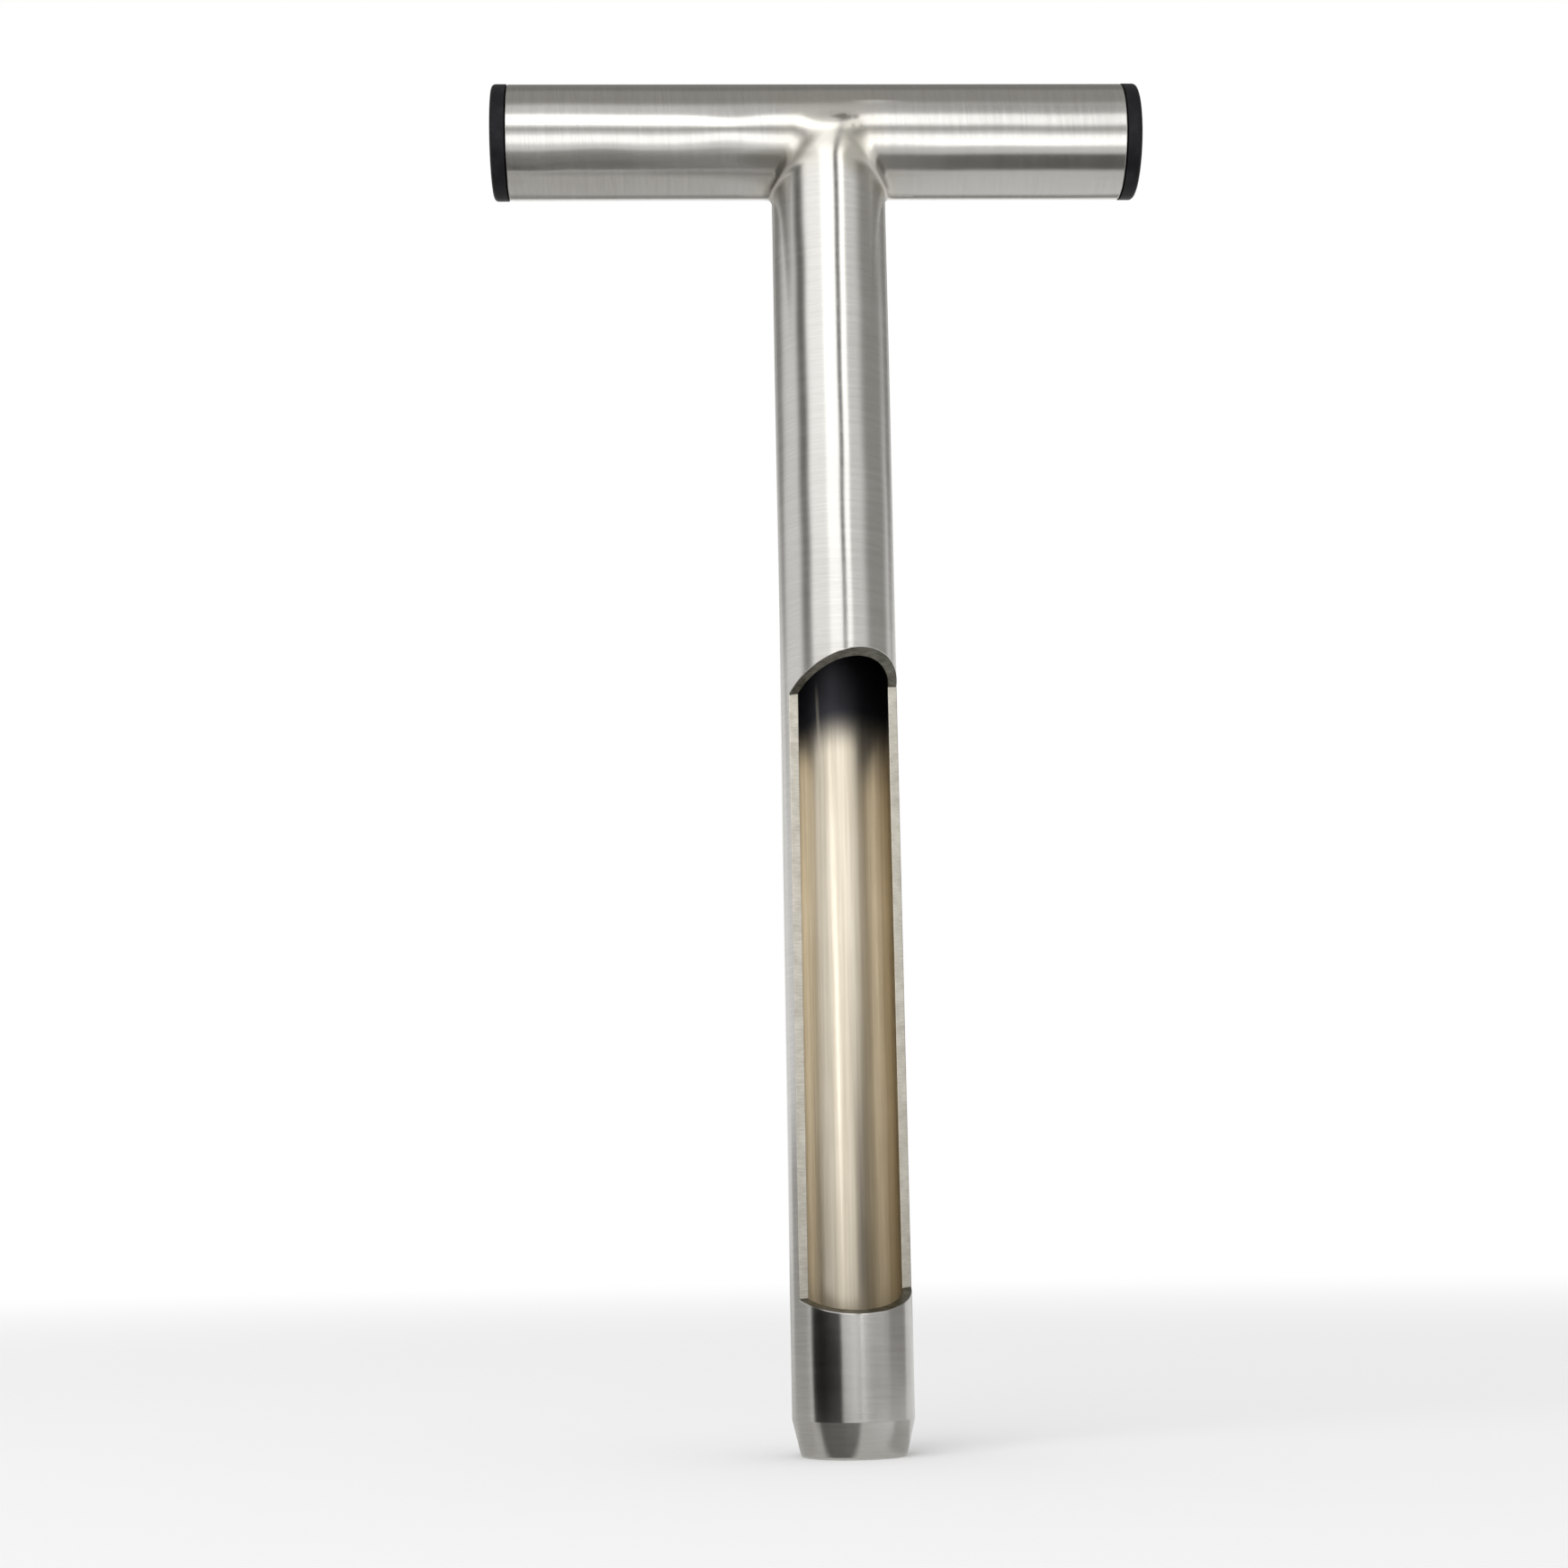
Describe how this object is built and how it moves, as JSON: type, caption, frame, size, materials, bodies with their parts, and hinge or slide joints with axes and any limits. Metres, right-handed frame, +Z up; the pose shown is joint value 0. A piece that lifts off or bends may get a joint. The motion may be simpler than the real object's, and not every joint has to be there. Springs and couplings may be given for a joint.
{
  "type": "soil sampling probe",
  "caption": "Short hand soil probe: a windowed stainless steel tube with a bevelled cutting end, welded to a tubular T handle with black plastic end caps.",
  "frame": {"origin": "centre of the cutting edge at the foot of the probe tube", "axes": "+Z up along the probe tube to the handle, X along the handle, and the window faces -Y, turned 15.8 degrees towards +X"},
  "size_m": [0.1444, 0.027, 0.3],
  "materials": {
    "stainless": "fine belt-polished stainless steel",
    "ground_weld": "weld ground smooth, slightly straw tinted",
    "black_plastic": "moulded black polyethylene"
  },
  "bodies": {
    "root": {"probe_tube": "stainless", "weld_bead": "ground_weld", "handle_tube": "stainless", "end_cap_left": "black_plastic", "end_cap_right": "black_plastic"}
  },
  "joints": []
}
